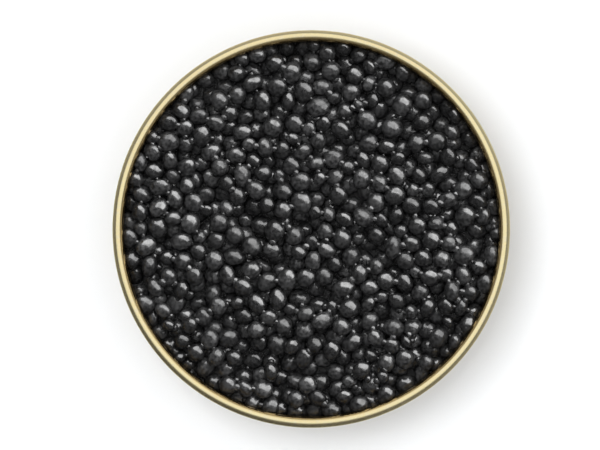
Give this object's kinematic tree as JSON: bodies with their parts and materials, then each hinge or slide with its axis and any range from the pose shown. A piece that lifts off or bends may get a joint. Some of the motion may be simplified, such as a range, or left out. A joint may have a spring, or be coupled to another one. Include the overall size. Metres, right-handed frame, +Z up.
{
  "type": "open tin of caviar",
  "caption": "Open round low metal tin with a rolled gold rim, filled nearly to the rim with large glossy black fish eggs.",
  "frame": {"origin": "centre of the ring under the tin, on the surface that it stands on", "axes": "+Z up along the axis of the tin; +Y is the picture's upward direction and +X its right, as seen from straight above"},
  "size_m": [0.078, 0.078, 0.026],
  "materials": {
    "tin": "gloss",
    "caviar": "gloss"
  },
  "bodies": {
    "root": {"tin": "tin", "caviar": "caviar"}
  },
  "joints": []
}
